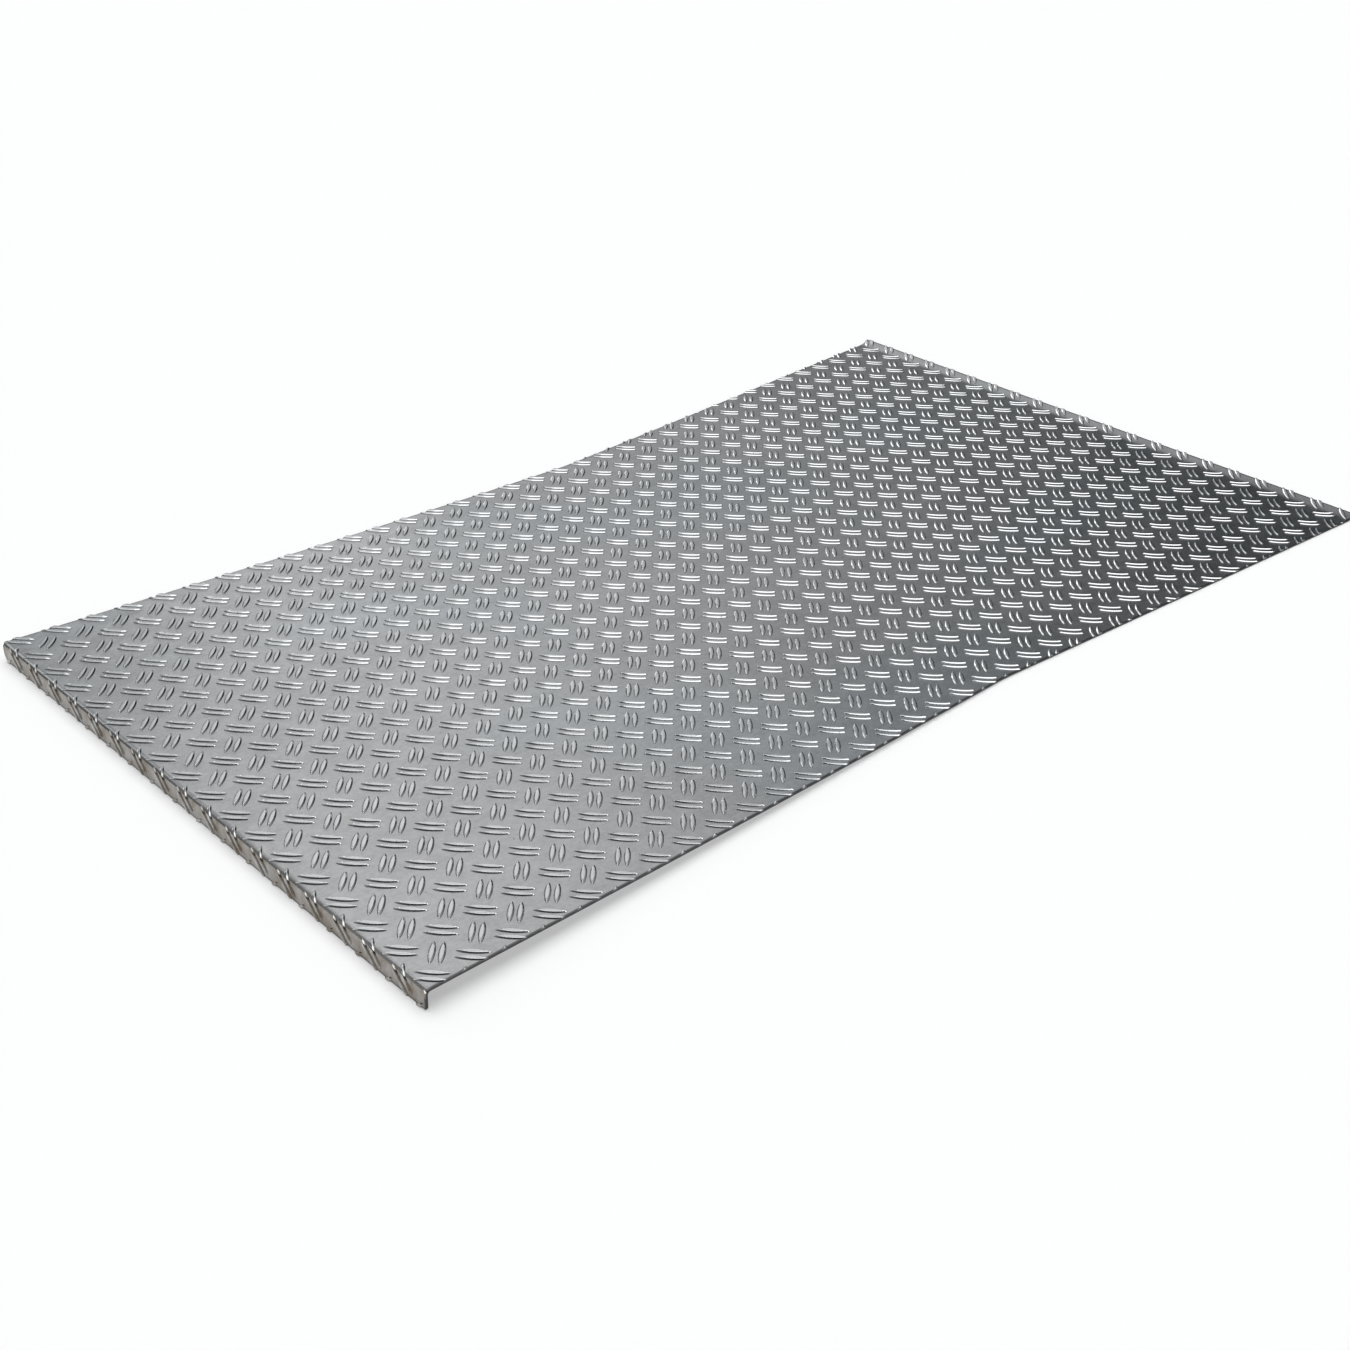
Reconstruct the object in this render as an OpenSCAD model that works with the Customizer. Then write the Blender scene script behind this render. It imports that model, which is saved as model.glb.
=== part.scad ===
// Checker steel plate, ready shaped: one rolled sheet with a down-turned flange across its narrow end, parallel
// sides that flare towards its wide end, and a soft upturned lip there. It lies on its flange's lower edge and on
// the flat of its wide half, and springs up between them in the curve that a sheet takes under its own weight.
// X runs along the plate from flange to lip, Y across it, Z up. The origin is the middle of the box that the
// plate fills, on the surface that it lies on.

/* [Plate] */
// Overall length, from the flange's outer face to the lip's end
plate_l = 1550; // [1300:1:1900]
// Width across the parallel sides, at the flange
narrow_w = 750; // [500:1:950]
// Width across the lip's end
wide_w = 880; // [740:1:1100]
// Length of the parallel sides, from the flange's outer face to where the flare starts
straight_l = 815; // [400:1:1100]
// Thickness of the plate, measured over its raised bars
plate_t = 4; // [2:0.1:6]

/* [Flange] */
// Height of the flange, from its lower edge to the top of the deck
flange_h = 23; // [18:0.5:60]
// Inside radius of the fold
fold_r = 3; // [1:0.1:6]
// Rounding of the flange's lower corner on the +Y side
corner_left_r = 10; // [2:0.5:11]
// Rounding of the flange's lower corner on the -Y side
corner_right_r = 3; // [2:0.5:11]

/* [Deck] */
// Length of deck that springs up off the ground behind the flange
lift_l = 1150; // [600:1:1200]

/* [Lip] */
// Width of the flat strip of the lip
lip_w = 11; // [6:0.5:30]
// Angle that the lip turns up by
lip_angle = 16; // [5:1:45]
// Inside radius of the lip's bend
lip_r = 40; // [10:1:60]

/* [Hidden] */
$fn = 96;
fold_steps = 12;                                   // straight steps that draw the fold
deck_steps = 32;                                   // straight steps that draw the deck's curve
lip_steps = 6;                                     // straight steps that draw the lip's bend
eps = 1;                                           // how far a cutting shape runs past what it cuts

front_x = -plate_l / 2;                            // the flange's outer face
end_x = plate_l / 2;                               // the lip's end
flare_x = front_x + straight_l;
deck_rise = flange_h - plate_t;                    // height of the deck's underside behind the fold
fold_angle = atan(2 * deck_rise / lift_l);         // slope of the deck where it meets the fold
fold_centre = [front_x + plate_t + fold_r, deck_rise - fold_r * cos(fold_angle)];
deck_x = fold_centre[0] + fold_r * sin(fold_angle);  // where the deck's underside starts behind the fold
flat_x = deck_x + lift_l;                          // where the deck comes down to the ground
lip_outer_r = lip_r + plate_t;
lip_x = end_x - lip_outer_r * sin(lip_angle) - lip_w * cos(lip_angle);  // where the lip starts to turn up
lip_centre = [lip_x, lip_outer_r];

function direction(angle) = [cos(angle), sin(angle)];

// How far x lies up the deck's curve, from 0 on the ground to 1 at the fold
function lift_share(x) = max(0, (flat_x - x) / lift_l);

// Height of the deck's underside at x, in the curve that a strip propped up at one end settles into:
// 2 s^3 - s^4, where s is the share of the curve
function deck_z(x) = let (s = lift_share(x)) deck_rise * (2 * pow(s, 3) - pow(s, 4));

// Slope of the deck at x, in degrees, from the derivative of that curve
function deck_slope(x) = let (s = lift_share(x)) atan(deck_rise / lift_l * (6 * pow(s, 2) - 4 * pow(s, 3)));

// The section's inner face, from the flange's lower edge to the lip's end, as points in the XZ plane, each with
// the angle at which the plate's thickness stands on it
flange_line = [[[front_x + plate_t, 0], 180]];
fold_line = [for (i = [0 : fold_steps - 1]) let (a = 180 - (90 + fold_angle) * i / fold_steps)
    [fold_centre + fold_r * direction(a), a]];
deck_line = [for (i = [0 : deck_steps]) let (x = deck_x + lift_l * i / deck_steps)
    [[x, deck_z(x)], 90 - deck_slope(x)]];
lip_line = [for (i = [0 : lip_steps]) let (a = lip_angle * i / lip_steps - 90)
    [lip_centre + lip_outer_r * direction(a), a + 180]];
lip_edge_line = [[lip_centre + lip_outer_r * direction(lip_angle - 90) + lip_w * direction(lip_angle),
    lip_angle + 90]];
section_line = concat(flange_line, fold_line, deck_line, lip_line, lip_edge_line);

// Section of the whole plate along its length: the inner face, then back along the outer one
module plate_section() {
    last = len(section_line) - 1;
    polygon(concat(
        [for (p = section_line) p[0]],
        [for (i = [last : -1 : 0]) section_line[i][0] + plate_t * direction(section_line[i][1])]
    ));
}

// Outline of the plate seen from above
module plate_outline() {
    polygon([
        [front_x, -narrow_w / 2], [flare_x, -narrow_w / 2], [end_x, -wide_w / 2],
        [end_x, wide_w / 2], [flare_x, narrow_w / 2], [front_x, narrow_w / 2]
    ]);
}

// What is cut away at a lower corner of the flange to round it, on the side that is 1 or -1
module corner_waste(side, r) {
    translate([front_x - eps, side * (narrow_w / 2 - r), r]) rotate([90, 0, 90])
        linear_extrude(height = plate_t + 2 * eps) difference() {
            translate([side > 0 ? 0 : -r - eps, -r - eps]) square(r + eps);
            circle(r = r);
        }
}

module checker_plate() {
    color("silver") difference() {
        intersection() {
            rotate([90, 0, 0]) linear_extrude(height = wide_w + 2 * eps, center = true) plate_section();
            translate([0, 0, -eps]) linear_extrude(height = flange_h + lip_r + 2 * eps) plate_outline();
        }
        corner_waste(1, corner_left_r);
        corner_waste(-1, corner_right_r);
    }
}

checker_plate();
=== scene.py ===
import bpy
import numpy as np
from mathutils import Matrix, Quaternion, Vector


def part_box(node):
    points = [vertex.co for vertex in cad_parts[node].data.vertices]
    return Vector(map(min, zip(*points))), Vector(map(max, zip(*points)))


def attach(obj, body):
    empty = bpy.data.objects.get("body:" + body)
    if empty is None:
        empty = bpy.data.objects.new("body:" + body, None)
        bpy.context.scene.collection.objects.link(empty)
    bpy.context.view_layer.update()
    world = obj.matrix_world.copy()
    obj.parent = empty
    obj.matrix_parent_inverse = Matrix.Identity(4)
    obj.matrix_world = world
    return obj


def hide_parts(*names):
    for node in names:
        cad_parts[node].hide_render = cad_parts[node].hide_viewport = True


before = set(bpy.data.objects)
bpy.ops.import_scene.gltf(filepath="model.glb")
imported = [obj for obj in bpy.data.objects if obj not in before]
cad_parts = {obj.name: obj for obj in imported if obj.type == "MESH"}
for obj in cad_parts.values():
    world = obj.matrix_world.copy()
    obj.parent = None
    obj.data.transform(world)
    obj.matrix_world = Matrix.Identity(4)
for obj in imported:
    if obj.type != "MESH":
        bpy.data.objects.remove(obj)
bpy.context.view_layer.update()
low, high = (np.array(corner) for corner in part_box("checker_plate"))

# ------------------------------------------------------------------------------------------------
# Sheet: 2.5 mm rolled steel, sheared to a strip that widens over its last half. One end is folded
# down over a 3 mm tool as a hook flange and the other is set up into a narrow lip. It lies on the
# wide half and springs 19 mm clear of the ground at the fold.
# ------------------------------------------------------------------------------------------------
SHEET_T, OVER_BARS = 0.0025, 0.004
FRONT_X, END_X = low[0], high[0]
# Half the width at the flange and at the lip, and where the sides start to flare.
NARROW, WIDE, FLARE_X = 0.375, high[1], 0.040
# The fold's inner radius, the flange's height and the length over which the deck is sprung.
FOLD_R, FLANGE_H, LIFT_L = 0.003, 0.023, 1.150
# The lip's width past its bend, its angle and the bend's outer radius.
LIP_W, LIP_TURN, LIP_OUT = 0.011, np.radians(16), 0.044
RISE = FLANGE_H - OVER_BARS
DECK_TILT = np.arctan(2 * RISE / LIFT_L)
FOLD_TURN = np.pi / 2 + DECK_TILT
FOLD_X, FOLD_Z = FRONT_X + OVER_BARS + FOLD_R, RISE - FOLD_R * np.cos(DECK_TILT)
# Where the deck and the lip's bend start, and the flat blank's two ends measured like them.
DECK_X = FOLD_X + FOLD_R * np.sin(DECK_TILT)
LIP_X = END_X - LIP_OUT * np.sin(LIP_TURN) - LIP_W * np.cos(LIP_TURN)
BLANK_START = DECK_X - FOLD_TURN * (FOLD_R + SHEET_T) - FOLD_Z
BLANK_END = LIP_X + LIP_TURN * (LIP_OUT - SHEET_T) + LIP_W
# Roundings of the flange's two lower corners, by side.
CORNER_R = {1: 0.010, -1: 0.003}
# Rings from the top face round the sheared edge to the underside: how far each is drawn in from the
# outline, its height, and how much of the cut edge's dull finish and painted shade it takes.
EDGE_RINGS = [(0.0030, SHEET_T, 0.0), (0.0017, SHEET_T, 0.7), (0.0005, SHEET_T - 0.00008, 0.95),
              (0.00015, SHEET_T - 0.00030, 1.0), (0.0, SHEET_T - 0.0007, 1.0), (0.0, 0.00035, 1.0),
              (0.0001, 0.0001, 1.0), (0.0004, 0.0, 0.8), (0.0015, 0.0, 0.0)]


def bend(s, h):
    """(x, z) of a point of the flat blank, s along it (s is x on the deck) and h above its underside.
    Flange, fold, deck, lip bend and lip each give a foot point on the underside and the underside's
    normal; the point stands h along that normal."""
    turn = np.clip((DECK_X - s) / (FOLD_R + SHEET_T), 0, FOLD_TURN)
    down = np.maximum(DECK_X - s - FOLD_TURN * (FOLD_R + SHEET_T), 0)
    angle = np.pi / 2 - DECK_TILT + turn
    fold = FOLD_X + (FOLD_R + h) * np.cos(angle), FOLD_Z + (FOLD_R + h) * np.sin(angle) - down

    k = np.clip((DECK_X + LIFT_L - s) / LIFT_L, 0, 1)
    slope = -RISE / LIFT_L * (6 * k**2 - 4 * k**3)
    unit = np.sqrt(1 + slope**2)
    deck = s - h * slope / unit, RISE * (2 * k**3 - k**4) + h / unit

    turn = np.clip((s - LIP_X) / (LIP_OUT - SHEET_T), 0, LIP_TURN)
    along = np.maximum(s - LIP_X - LIP_TURN * (LIP_OUT - SHEET_T), 0)
    lip = (LIP_X + (LIP_OUT - h) * np.sin(turn) + along * np.cos(turn),
           LIP_OUT - (LIP_OUT - h) * np.cos(turn) + along * np.sin(turn))
    return tuple(np.where(s < DECK_X, f, np.where(s > LIP_X, e, d)) for f, d, e in zip(fold, deck, lip))


def half_width(s, side):
    """Half the blank's width at s on one side, 1 or -1: constant, then flaring in a straight line to
    the end, less what the rounded lower corner of the flange takes."""
    x = bend(s, 0 * s)[0]
    flare = np.clip((x - FLARE_X) / (END_X - FLARE_X), 0, 1)
    r = np.where(side > 0, CORNER_R[1], CORNER_R[-1])
    short = np.clip(r - (s - BLANK_START), 0, r)
    return NARROW + (WIDE - NARROW) * flare - (r - np.sqrt(r**2 - short**2))


def on_sheet(s, y, h):
    """The blank's points (s, y, h) bent to shape, as an array of x, y, z."""
    x, z = bend(s, h)
    return np.stack([x, y, z], -1)


def mesh_piece(name, points, quads, flat, marks, crisp):
    """A smooth mesh object from points and quads. Its UV map, blank, holds each point's place on the
    flat sheet in metres, and each of marks is a point attribute that the finish reads. Edges that
    turn by more than crisp, in radians, are sharp."""
    mesh = bpy.data.meshes.new(name)
    mesh.from_pydata(points, [], quads)
    uv = mesh.uv_layers.new(name="blank")
    corner = np.zeros(len(mesh.loops), int)
    mesh.loops.foreach_get("vertex_index", corner)
    uv.data.foreach_set("uv", flat[corner].astype(np.float32).ravel())
    for mark, value in marks.items():
        mesh.attributes.new(mark, "FLOAT", "POINT").data.foreach_set("value", value.astype(np.float32))
    mesh.polygons.foreach_set("use_smooth", np.ones(len(mesh.polygons), bool))
    mesh.set_sharp_from_angle(angle=crisp)
    mesh.update()
    piece = bpy.data.objects.new(name, mesh)
    bpy.context.scene.collection.objects.link(piece)
    return piece


def skin(u, s, inset, h):
    """Points of the sheet's skin: u from -1 to 1 across it and s along it, drawn in from the sheared
    outline by inset, at height h. Returns the bent points and their places on the flat blank."""
    middle = (BLANK_START + BLANK_END) / 2
    s = middle + (s - middle) * (1 - 2 * inset / (BLANK_END - BLANK_START))
    y = u * (half_width(s, u) - inset)
    return on_sheet(s, y, h + 0 * s), np.stack([s, y], -1)


def sheet_mesh():
    """Two grids, top face and underside, joined round the outline by rings that follow the sheared
    edge: a rolled-over top corner, the cut face, and a small burr corner below."""
    across = np.concatenate([[-1], np.linspace(-0.98, 0.98, 15), [1]])
    corner = BLANK_START + 0.010 * (1 - np.cos(np.linspace(0, np.pi / 2, 9)))
    along = np.concatenate([
        corner, [DECK_X - FOLD_TURN * (FOLD_R + SHEET_T) - 0.003],
        DECK_X - (FOLD_R + SHEET_T) * np.linspace(FOLD_TURN, 0, 17),
        np.linspace(DECK_X + 0.004, FLARE_X - 0.01, 40), np.linspace(FLARE_X + 0.01, LIP_X - 0.004, 30),
        LIP_X + (LIP_OUT - SHEET_T) * np.linspace(0, LIP_TURN, 7), [BLANK_END - 0.003, BLANK_END]])
    u, s = np.meshgrid(across, along)
    rows, columns = u.shape
    ids = np.arange(rows * columns).reshape(rows, columns)
    border = np.concatenate([ids[0, :-1], ids[:-1, -1], ids[-1, :0:-1], ids[:0:-1, 0]])
    parts = [skin(u.ravel(), s.ravel(), *EDGE_RINGS[0][:2])]
    parts += [skin(u.ravel()[border], s.ravel()[border], *ring[:2]) for ring in EDGE_RINGS[1:-1]]
    parts += [skin(u.ravel(), s.ravel(), *EDGE_RINGS[-1][:2])]
    points, flat = (np.concatenate([part[k] for part in parts]) for k in (0, 1))
    edge = np.concatenate([np.full(len(part[0]), ring[2]) for part, ring in zip(parts, EDGE_RINGS)])

    grid = np.stack([ids[:-1, :-1], ids[:-1, 1:], ids[1:, 1:], ids[1:, :-1]], -1).reshape(-1, 4)
    between = len(EDGE_RINGS) - 2
    ring_start = rows * columns + len(border) * np.arange(between)
    under = rows * columns + len(border) * between
    loops = [border] + [start + np.arange(len(border)) for start in ring_start] + [under + border]
    walls = [np.stack([a, np.roll(a, -1), np.roll(b, -1), b], -1) for a, b in zip(loops, loops[1:])]
    quads = np.concatenate([grid[:, ::-1], under + grid] + walls)
    return points, quads, flat, edge


points, quads, flat, edge = sheet_mesh()
sheet = mesh_piece("plate_sheet", points, quads, flat, {"edge": edge, "rise": 0 * edge - 1}, crisp=0.7)


class Wire:
    """A socket in a shader. Arithmetic between wires and numbers adds Math nodes; node() adds any
    other node."""

    def __init__(self, tree, socket=None):
        self.tree, self.socket = tree, socket

    def node(self, kind, settings, values, out=0):
        """Adds a node of that kind, sets its settings, then gives its sockets their values or wires,
        and returns the output asked for."""
        made = self.tree.nodes.new(kind)
        for name, value in settings.items():
            setattr(made, name, value)
        for name, value in values.items():
            if isinstance(value, Wire):
                self.tree.links.new(value.socket, made.inputs[name])
            else:
                made.inputs[name].default_value = value
        return Wire(self.tree, made.outputs[out]) if len(made.outputs) else None

    def math(self, operation, *others):
        return self.node("ShaderNodeMath", {"operation": operation},
                         dict(enumerate((self, *others))))

    def __add__(self, other):
        return self.math("ADD", other)

    def __mul__(self, other):
        return self.math("MULTIPLY", other)

    def __sub__(self, other):
        return self.math("SUBTRACT", other)

    def __rsub__(self, other):
        return self.node("ShaderNodeMath", {"operation": "SUBTRACT"}, {0: other, 1: self})

    def __truediv__(self, other):
        return self.math("DIVIDE", other)

    __radd__, __rmul__ = __add__, __mul__

    def between(self, start, end):
        """0 at start and 1 at end, smoothly, and held outside them."""
        return self.node("ShaderNodeMapRange", {"interpolation_type": "SMOOTHSTEP"},
                         {"Value": self, "From Min": start, "From Max": end})

    def tinted(self, amount, colour):
        """This colour moved towards another by amount."""
        return self.node("ShaderNodeMix", {"data_type": "RGBA"}, {0: amount, 6: self, 7: colour}, 2)


def scaled_noise(place, along, across, detail=3.0, rough=0.55, shift=0.0):
    """Noise on the flat blank with that many waves per metre along and across the sheet."""
    at = place.node("ShaderNodeMapping", {}, {"Vector": place, "Scale": (along, across, 1.0),
                                              "Location": (shift, 0.7 * shift, shift)})
    return place.node("ShaderNodeTexNoise", {"noise_dimensions": "3D"},
                      {"Vector": at, "Scale": 1.0, "Detail": detail, "Roughness": rough})


def rolled_steel():
    """Bare mill-finish steel: cloudy roller marks drawn out along the sheet, a fine grain and a few
    dark specks. Bars pressed smooth and painted brighter, partly a painted highlight; painted shade at
    the foot of each bar and, darker and browner, on the flange; sheared edges dull and painted dark as
    painted shade."""
    steel = bpy.data.materials.new("rolled_steel")
    steel.use_nodes = True
    tree = steel.node_tree
    tree.nodes.clear()
    # The sheet's own tones, then the bars' brighter tone, partly a painted highlight.
    cool, warm, crest = (0.512, 0.533, 0.551, 1), (0.536, 0.535, 0.541, 1), (0.84, 0.85, 0.86, 1)
    # Painted shade for each bar's foot and, darker and browner, for the flange.
    painted_foot_shade, painted_flange_shade = (0.07, 0.07, 0.07, 1), (0.200, 0.170, 0.135, 1)
    # Dark specks are the steel's own; the sheared edges' dark is painted shade.
    speck, painted_edge_shade = (0.10, 0.10, 0.10, 1), (0.05, 0.05, 0.05, 1)
    start = Wire(tree)
    place = start.node("ShaderNodeUVMap", {"uv_map": "blank"}, {})
    rise = start.node("ShaderNodeAttribute", {"attribute_name": "rise"}, {}, "Fac")
    edge = start.node("ShaderNodeAttribute", {"attribute_name": "edge"}, {}, "Fac")
    s = place.node("ShaderNodeSeparateXYZ", {}, {0: place})
    flange = 1 - s.between(DECK_X - 0.008, DECK_X - 0.001)

    clouds = scaled_noise(place, 5, 9, 4.0, 0.55)
    mottle = scaled_noise(place, 45, 60, 4.0, 0.6, 3.0)
    blots = scaled_noise(place, 170, 210, 2.0, 0.5, 43.0)
    streaks = scaled_noise(place, 9, 260, 3.0, 0.6, 7.0)
    grain = scaled_noise(place, 600, 900, 3.0, 0.65, 11.0)
    specks = scaled_noise(place, 230, 230, 1.0, 0.5, 19.0).between(0.74, 0.80)

    raised = rise.between(0.02, 0.10)
    # Painted shade low on each bar, fading out partway up its flank.
    foot = rise.between(-0.5, 0.0) * (1 - rise.between(0.15, 0.55))
    tone = 0.90 + 0.34 * (clouds - 0.5) + 0.42 * (mottle - 0.5) + 0.12 * (streaks - 0.5)
    tone = tone + 0.30 * (grain - 0.5) + 0.30 * (blots - 0.5)
    warmth = scaled_noise(place, 2.2, 3.1, 2.0, 0.5, 31.0).between(0.35, 0.65)
    colour = start.node("ShaderNodeMix", {"data_type": "RGBA"}, {0: warmth, 6: cool, 7: warm}, 2)
    colour = colour.node("ShaderNodeVectorMath", {"operation": "SCALE"}, {0: colour, "Scale": tone})
    # Bars painted brighter than the sheet: partly their own polish, partly a painted highlight.
    colour = colour.tinted(raised * 0.42, crest)
    # Painted shade darkens the foot of each bar.
    colour = colour.tinted(foot * 0.85, painted_foot_shade)
    # Painted shade: the flange darker and browner, as a dimmer reflection, patchy with the mottle.
    colour = colour.tinted(flange * (0.72 + 2.0 * (mottle - 0.5)), painted_flange_shade)
    colour = colour.tinted(specks * 0.6, speck)
    # Painted shade: the cut faces and a thin rim of the top face painted dark.
    colour = colour.tinted(edge * 0.95, painted_edge_shade)

    rough = 0.27 + 0.14 * (clouds - 0.5) + 0.10 * (mottle - 0.5) + 0.08 * (grain - 0.5)
    rough = rough - 0.12 * raised + 0.15 * edge
    height = 0.35 * mottle + 0.10 * grain + 0.12 * streaks
    relief = start.node("ShaderNodeBump", {}, {"Height": height, "Strength": 0.18, "Distance": 0.0006})
    shader = start.node("ShaderNodeBsdfPrincipled", {}, {
        "Base Color": colour, "Roughness": rough, "Metallic": 1.0, "Normal": relief})
    start.node("ShaderNodeOutputMaterial", {}, {"Surface": shader})
    return steel


steel = rolled_steel()
sheet.data.materials.append(steel)
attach(sheet, "root")
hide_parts("checker_plate")

# ------------------------------------------------------------------------------------------------
# Raised bars: rolled up out of the sheet itself by the mill's engraved roll, 1.5 mm high and 31 mm
# long, pointed at both ends, with flat crests and steep flanks. They lie in pairs at 45 degrees,
# each pair square to its neighbours, and the shear cuts off those at the sheet's edges.
# ------------------------------------------------------------------------------------------------
# The square lattice's repeat, and its offset in repeats from the flange's face and the middle line.
REPEAT, PAIR_X, PAIR_Y = 0.043, 1.90, 3.95
# A bar's length, how much wider its middle is than its points, the points' half width, its distance
# from its twin, its flank's width, and half the share of the flank that the curved foot takes.
BAR_L, BAR_W, TIP_W, APART, FLANK_W, FOOT = 0.0312, 0.0064, 0.00012, 0.0087, 0.00125, 0.12
# Where the lines along a bar lie across it.
ACROSS = np.array([-1, -0.89, -0.55, -0.43, 0, 0.43, 0.55, 0.89, 1])
# How far a bar is sunk into the sheet, and how much less than 1.5 mm it rises, so that it stands
# 1.45 mm proud. How far inside the shear one of its points must be for it to be kept, and how deep
# its cut face goes into the sheet.
SUNK, SHY, LEAST, CUT_DEEP = 0.00003, 0.00002, 0.0012, 0.0003


def pair_centres(offset):
    """Centres of the pairs on a square lattice of one repeat, offset by a share of it, as (s, y)."""
    j, i = np.meshgrid(np.arange(-4, 38), np.arange(-17, 10))
    return np.stack([FRONT_X + REPEAT * (j.ravel() + offset + PAIR_X),
                     -REPEAT * (i.ravel() + offset + PAIR_Y)], -1)


def inside(s, y):
    """How far a place on the blank is within the sheared outline, negative outside it."""
    return np.minimum(half_width(s, np.sign(y)) - np.abs(y), np.minimum(s - BLANK_START, BLANK_END - s))


def half_bar(t):
    """Half a bar's width at t, -1 to 1 along it: a lens, widest in the middle and falling to points."""
    return BAR_W / 2 * np.clip(1 - t**2, 0, 1) ** 0.7 + TIP_W


def bar_outline(centre, way, c, t):
    """(s, y) of places on bars, and how many flank widths in from the outline they are: c from -1 to
    1 across, with a flank in each outer half of that range and the crest between, and t from -1 to
    1 along. way is 1 or -1 for the diagonal that the bar follows."""
    half = half_bar(t)
    flank = np.minimum((1 + FOOT) * FLANK_W / half, 0.85)
    share = np.where(np.abs(c) > 0.5, 1 - 2 * (1 - np.abs(c)) * flank, 2 * np.abs(c) * (1 - flank))
    long, wide, diagonal = t * BAR_L / 2, np.sign(c) * share * half, np.sqrt(0.5)
    return (centre[..., 0] + diagonal * (long - way * wide),
            centre[..., 1] + diagonal * (way * long + wide), half * (1 - share) / FLANK_W)


def bar_rise(inwards):
    """Share of the full height at a number of flank widths in from the outline: a foot that curves up
    as the square, then a straight flank, then a flat crest, with the edge before it rounded."""
    climb = np.where(inwards < 2 * FOOT, inwards**2 / (4 * FOOT), inwards - FOOT)
    return (np.clip(climb, 1e-4, None) ** -16.0 + 1) ** (-1 / 16)


def cut_to_edge(centre, way, c, inner, outer):
    """Whether each line along a bar stays on the sheet, and where it leaves it, found by halving
    between a t that is inside it and one that may be outside."""
    stay = inside(*bar_outline(centre, way, c, outer)[:2]) >= 0
    for _ in range(22):
        half = (inner + outer) / 2
        good = inside(*bar_outline(centre, way, c, half)[:2]) >= 0
        inner, outer = np.where(good, half, inner), np.where(good, outer, half)
    return stay, inner


def bar_surface(centre, way, c, t):
    """Bent points of bars at (c, t), their places on the blank, and their rise."""
    s, y, inwards = bar_outline(centre, way, c, t)
    rise = bar_rise(inwards)
    h = SHEET_T - SUNK + (OVER_BARS - SHEET_T - SHY) * rise
    return on_sheet(s, y, h), np.stack([s, y], -1), rise


def bar_rows(centre, way, rows):
    """Grids for many bars at once: rows along each, closer together towards its ends, from a point
    that is on the sheet to the other point or to the shear's cut, and ACROSS across. Normals are
    the cross product of small steps along and across the surface. Last come which bars are cut
    right through, and which start from their lower t."""
    tips = np.stack([inside(*bar_outline(centre, way, 0, sign)[:2]) for sign in (-1.0, 1.0)])
    kept = tips.max(0) > LEAST
    centre, first = centre[kept][:, None], np.where(tips[0] > tips[1], -1.0, 1.0)[kept][:, None]
    c = ACROSS + 0 * first
    stay, last = cut_to_edge(centre, way, c, 0.96 * first, -first + 0 * c)
    share = np.linspace(0, 1, rows)
    share = 0.4 * share + 0.3 * (1 - np.cos(np.pi * share))
    t = first[:, None] + (last - first)[:, None] * share[:, None]
    c = c[:, None] + 0 * t
    centre = centre[:, None]
    points, flat, rise = bar_surface(centre, way, c, t)
    step = 0.02
    inner = np.clip(c, -1 + step, 1 - step)
    along = (bar_surface(centre, way, inner, np.clip(t + step, -1, 1))[0]
             - bar_surface(centre, way, inner, np.clip(t - step, -1, 1))[0])
    across = (bar_surface(centre, way, inner + step, t)[0]
              - bar_surface(centre, way, inner - step, t)[0])
    normals = np.cross(along, across)
    normals /= np.linalg.norm(normals, axis=-1, keepdims=True) + 1e-12
    return points, flat, rise, normals, ~stay.any(1), first[:, 0] < 0


def bars_piece(name, sets, rows):
    """One mesh of bars from sets of (pair centres, way): two bars to a pair, each a grid of quads
    that is open underneath, where it is sunk into the sheet, with a wall of its own down the cut
    face of each bar that the shear went right through."""
    points, quads, flats, rises, normals, start = [], [], [], [], [], 0
    for centres, way in sets:
        sideways = np.sqrt(0.5) * APART / 2 * np.array([-way, 1.0])
        centre = np.concatenate([centres - sideways, centres + sideways])
        grid, flat, rise, normal, cut, forward = bar_rows(centre, way, rows)
        rim, rim_flat = grid[cut][:, -1:], flat[cut][:, -1:]
        foot = on_sheet(rim_flat[..., 0], rim_flat[..., 1], SHEET_T - CUT_DEEP + 0 * rim[..., 0])
        wall = np.concatenate([rim, foot], 1)
        at_side = np.where(np.abs(rim[..., 1:2]) > 0.3, 1.0, 0.0)
        out = np.concatenate([1 - at_side, at_side * np.sign(rim[..., 1:2]), 0 * at_side], -1)
        for faces, places, height, facing, ahead in (
                (grid, flat, rise, normal, forward),
                (wall, np.concatenate([rim_flat] * 2, 1), 0.2 + 0 * wall[..., 0],
                 np.concatenate([out] * 2, 1), forward[cut])):
            ids = start + np.arange(faces[..., 0].size).reshape(faces.shape[:-1])
            four = np.stack([ids[:, :-1, :-1], ids[:, :-1, 1:], ids[:, 1:, 1:], ids[:, 1:, :-1]], -1)
            four = np.where(ahead[:, None, None, None], four[..., ::-1], four)
            quads.append(four.reshape(-1, 4))
            points.append(faces.reshape(-1, 3))
            flats.append(places.reshape(-1, 2))
            rises.append(height.ravel())
            normals.append(facing.reshape(-1, 3))
            start += faces[..., 0].size
    flats, rises = np.concatenate(flats), np.concatenate(rises)
    marks = {"edge": 0 * rises, "rise": rises}
    piece = mesh_piece(name, np.concatenate(points), np.concatenate(quads), flats, marks, crisp=np.pi)
    piece.data.normals_split_custom_set_from_vertices(np.concatenate(normals))
    piece.data.materials.append(steel)
    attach(piece, "root")


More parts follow.
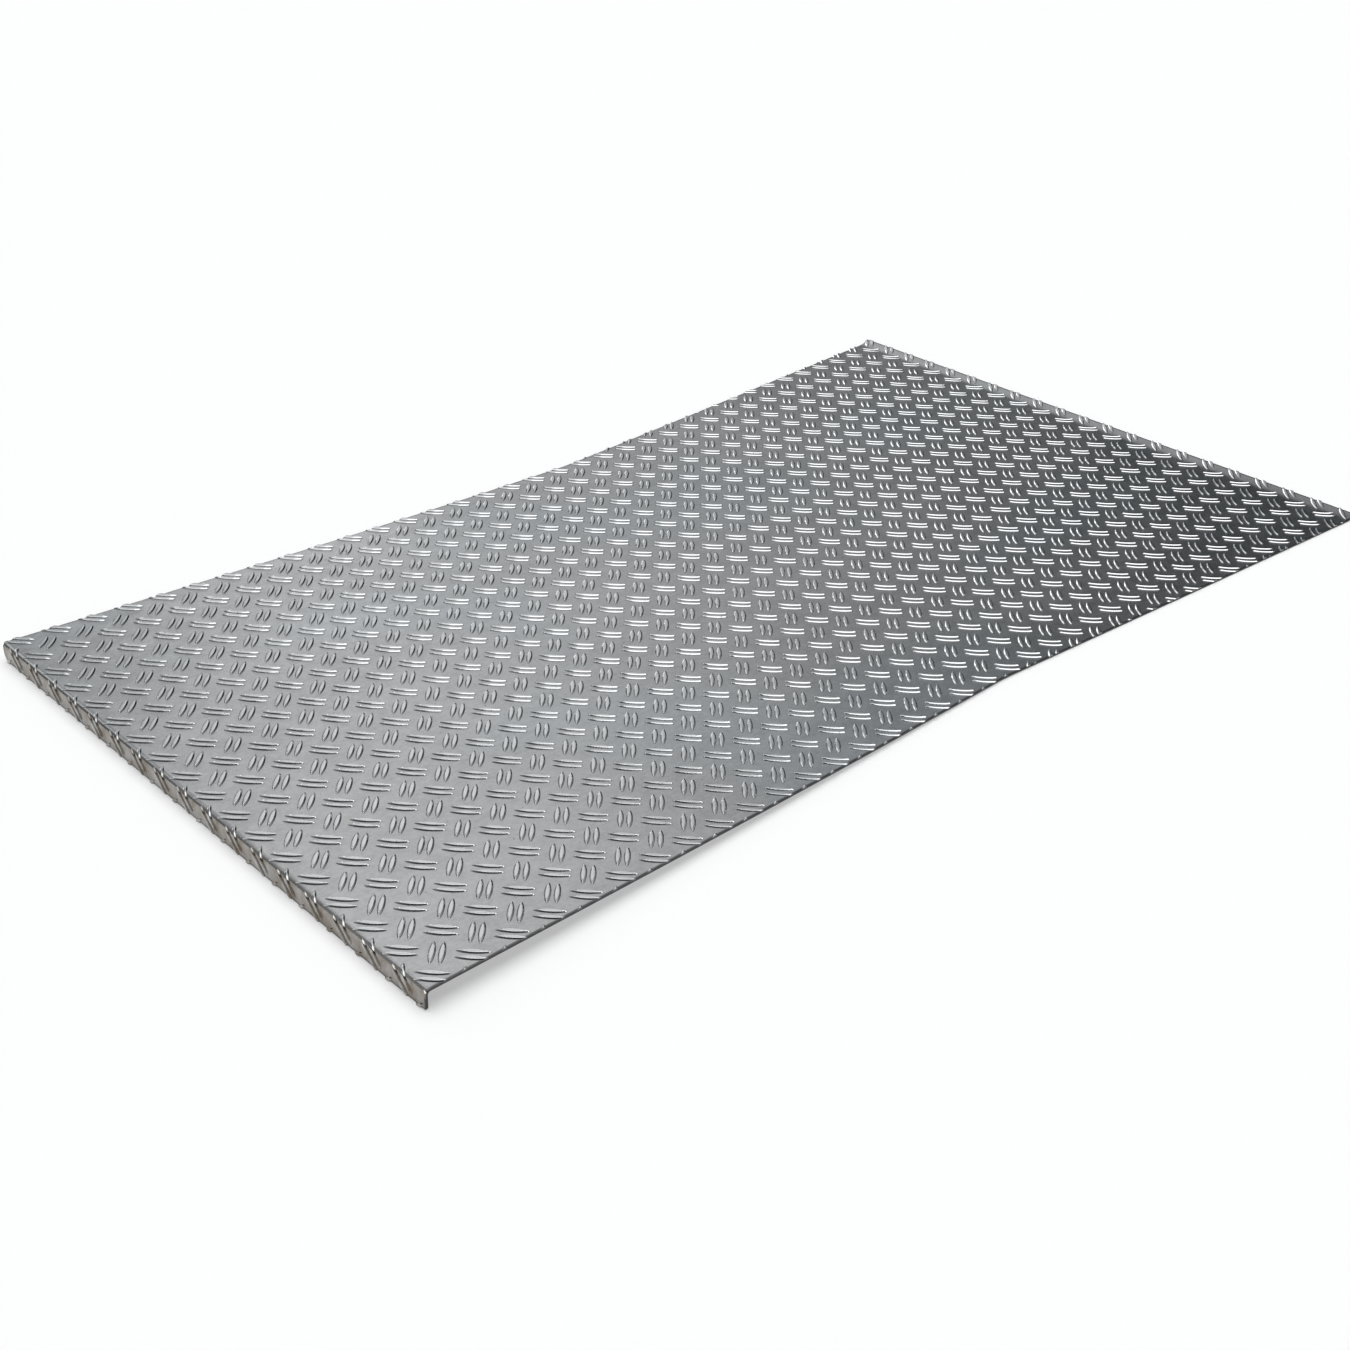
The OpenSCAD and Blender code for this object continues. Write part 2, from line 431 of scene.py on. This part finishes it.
uphill, downhill = pair_centres(0.0), pair_centres(0.5)
near_fold = DECK_X + 0.014
bars_piece("bars_one_way", [(uphill[uphill[:, 0] > near_fold], 1)], 8)
bars_piece("bars_other_way", [(downhill[downhill[:, 0] > near_fold], -1)], 8)
bars_piece("bars_at_fold", [(uphill[uphill[:, 0] <= near_fold], 1),
                            (downhill[downhill[:, 0] <= near_fold], -1)], 25)

# ------------------------------------------------------------------------------------------------
# Floor and light: a wide pale floor in a softly lit room. The steel mirrors glows and a small softbox
# past its far side, and two softboxes overhead, which end above the near side and so leave the bars'
# near flanks dark on the left. A zenith softbox and fainter glows all round light its other sides.
# ------------------------------------------------------------------------------------------------
def direction(azimuth, elevation):
    """Unit vector towards an azimuth, in degrees from +X towards +Y, and an elevation."""
    a, e = np.radians([azimuth, elevation])
    return Vector((np.cos(a) * np.cos(e), np.sin(a) * np.cos(e), np.sin(e)))


def studio_floor():
    """One large flat square just under the plate, matt and pale, which gives off some light itself,
    so that shadows on it stay pale."""
    mesh = bpy.data.meshes.new("floor")
    reach, level = 60.0, -0.0002
    mesh.from_pydata([(x * reach, y * reach, level) for x, y in ((-1, -1), (1, -1), (1, 1), (-1, 1))],
                     [], [(0, 1, 2, 3)])
    floor = bpy.data.objects.new("floor", mesh)
    bpy.context.scene.collection.objects.link(floor)
    pale = bpy.data.materials.new("pale_floor")
    pale.use_nodes = True
    tree = pale.node_tree
    tree.nodes.clear()
    start = Wire(tree)
    shader = start.node("ShaderNodeBsdfPrincipled", {}, {
        "Base Color": (0.60, 0.60, 0.60, 1), "Roughness": 0.9, "Specular IOR Level": 0.0,
        "Emission Color": (1.0, 1.0, 1.0, 1), "Emission Strength": 0.34})
    start.node("ShaderNodeOutputMaterial", {}, {"Surface": shader})
    mesh.materials.append(pale)


def softbox(name, centre, size, towards, tilt, brightness):
    """A flat lamp that the steel mirrors and the floor doesn't take: a level rectangle whose first
    side runs towards an azimuth, tilted up about that side. Its power goes with its area, so that
    brightness alone sets how bright its face looks."""
    lamp = bpy.data.lights.new(name, "AREA")
    lamp.shape, lamp.size, lamp.size_y = "RECTANGLE", size[0], size[1]
    lamp.energy = brightness * np.pi * size[0] * size[1]
    placed = bpy.data.objects.new(name, lamp)
    placed.location = centre
    placed.rotation_euler = (np.radians(tilt), 0, np.radians(towards))
    placed.visible_diffuse = False
    bpy.context.scene.collection.objects.link(placed)


def floor_lamp(name, towards, strength, spread):
    """A distant soft light, spread degrees wide, that only the floor takes."""
    lamp = bpy.data.lights.new(name, "SUN")
    lamp.energy, lamp.angle = strength, np.radians(spread)
    placed = bpy.data.objects.new(name, lamp)
    placed.rotation_mode = "QUATERNION"
    placed.rotation_quaternion = towards.to_track_quat("Z", "Y")
    placed.visible_glossy = False
    bpy.context.scene.collection.objects.link(placed)


def studio_air(glows):
    """The light that comes from all round: a dim even level, and soft round glows, each an azimuth,
    an elevation, a width and a strength. A glow falls off as the exponential of the cosine of the
    angle from its middle, less one, over the square of its width. The camera sees plain white."""
    world = bpy.data.worlds.new("studio")
    bpy.context.scene.world = world
    world.use_nodes = True
    tree = world.node_tree
    tree.nodes.clear()
    start = Wire(tree)
    ray = start.node("ShaderNodeTexCoord", {}, {}, "Generated")
    glow_colour, dim_colour = (1.0, 0.995, 0.99), (0.000, 0.010, 0.015)
    level = 0.0
    for azimuth, elevation, width, strength in glows:
        facing = start.node("ShaderNodeVectorMath", {"operation": "DOT_PRODUCT"},
                            {0: ray, 1: direction(azimuth, elevation)}, "Value")
        level = ((facing - 1.0) / np.radians(width) ** 2).math("EXPONENT") * strength + level
    glow = start.node("ShaderNodeVectorMath", {"operation": "SCALE"}, {0: glow_colour, "Scale": level})
    glow = start.node("ShaderNodeVectorMath", {"operation": "ADD"}, {0: glow, 1: dim_colour})
    seen = start.node("ShaderNodeLightPath", {}, {}, "Is Camera Ray")
    glow = start.node("ShaderNodeBackground", {}, {"Color": glow, "Strength": 1.0})
    plain = start.node("ShaderNodeBackground", {}, {"Color": (1.0, 1.0, 1.0, 1), "Strength": 1.0})
    both = start.node("ShaderNodeMixShader", {}, {0: seen, 1: glow, 2: plain})
    start.node("ShaderNodeOutputWorld", {}, {"Surface": both})


# Glows past the far side, and fainter ones round the rest of the room.
STEEL_GLOWS = [(53, 34, 11.2, 1.03), (41, 53, 6, 0.45), (101, 29, 8, 1.5), (88, 19, 7, 1.7),
               (62, 3, 5, 1.6)]
ROOM_GLOWS = [(152, 24, 14, 0.62), (185, 14, 17, 0.55), (222, 8, 13, 0.50), (265, 14, 17, 0.55),
              (308, 22, 17, 0.62), (345, 12, 13, 0.45)]
# The azimuth and the height of the lamps overhead.
LAMPS_TURN, LAMPS_H = 37, 2.5
studio_floor()
studio_air(STEEL_GLOWS + ROOM_GLOWS)
along, aside, up = direction(LAMPS_TURN, 0), direction(LAMPS_TURN + 90, 0), Vector((0, 0, LAMPS_H))
softbox("overhead_softbox", along * -1.05 + aside * -1.475 + up, (2.0, 3.85), LAMPS_TURN, 0, 2.35)
softbox("overhead_fill", along * -1.00 + aside * 1.375 + up, (1.9, 1.85), LAMPS_TURN, 0, 1.25)
softbox("zenith_softbox", along * 0.75 + up, (1.6, 4.6), LAMPS_TURN, 0, 0.65)
softbox("side_softbox", Vector((1.57, 3.88, 0.80)), (1.3, 0.7), -14, -75, 3.1)
floor_lamp("floor_light", direction(60, 80), 2.7, 70)
bpy.context.scene.view_settings.view_transform = "Standard"

# ------------------------------------------------------------------------------------------------
# Camera: a 44.5 mm lens on the near left, 31 degrees above the plate and rolled by 3 degrees. It looks
# at a point on the plate between the middle and the flange, 1.9 m away.
# ------------------------------------------------------------------------------------------------
LOOK_AT, DISTANCE = Vector((-0.2098, -0.1344, 0.010)), 1.8716
AZIMUTH, ELEVATION, ROLL = -46.899, 30.558, 3.283
camera = bpy.data.objects.new("camera", bpy.data.cameras.new("camera"))
camera.data.lens, camera.data.sensor_width = 44.52, 36.0
camera.data.shift_x, camera.data.shift_y = -0.0185, -0.0096
back = direction(AZIMUTH - 90, ELEVATION)
camera.rotation_mode = "QUATERNION"
camera.location = LOOK_AT + back * DISTANCE
camera.rotation_quaternion = (-back).to_track_quat("-Z", "Y") @ Quaternion((0, 0, 1), np.radians(ROLL))
bpy.context.scene.collection.objects.link(camera)
bpy.context.scene.camera = camera
